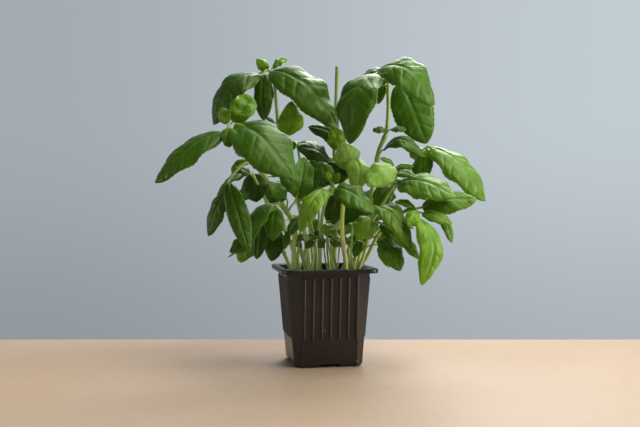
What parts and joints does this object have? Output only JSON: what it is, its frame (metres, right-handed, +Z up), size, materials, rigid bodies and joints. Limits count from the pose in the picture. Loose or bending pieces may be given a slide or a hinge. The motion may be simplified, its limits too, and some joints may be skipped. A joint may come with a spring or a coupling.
{
  "type": "potted basil plant",
  "caption": "Bushy basil plant with leafy green stems growing from soil in a square tapered brown plastic pot.",
  "frame": {"origin": "middle of the pot's underside, on the surface the pot stands on", "axes": "+Z up, -Y towards the front of the plant, +X to the right seen from the front"},
  "size_m": [0.2927, 0.205, 0.2817],
  "materials": {
    "leaf": "satin",
    "stem": "satin",
    "soil": "matte",
    "pot": "satin"
  },
  "bodies": {
    "root": {"cut_stem_front": "stem", "cut_stem_tall": "stem", "pot": "pot", "seedling_1": "leaf", "seedling_2": "leaf", "seedling_3": "leaf", "seedling_4": "leaf", "seedling_5": "leaf", "seedling_6": "leaf", "shoot_back_left": "leaf", "shoot_back_low_left": "leaf", "shoot_back_low_right": "leaf", "shoot_back_mid_left": "leaf", "shoot_back_mid_right": "leaf", "shoot_back_right": "leaf", "shoot_centre": "leaf", "shoot_centre_right": "leaf", "shoot_front_centre": "leaf", "shoot_front_left": "leaf", "shoot_left_front": "leaf", "shoot_left_long": "leaf", "shoot_left_low": "leaf", "shoot_right_far": "leaf", "shoot_right_low": "leaf", "shoot_right_mid": "leaf", "shoot_right_out": "leaf", "shoot_top_left": "leaf", "shoot_top_right": "leaf", "soil": "soil"}
  },
  "joints": []
}
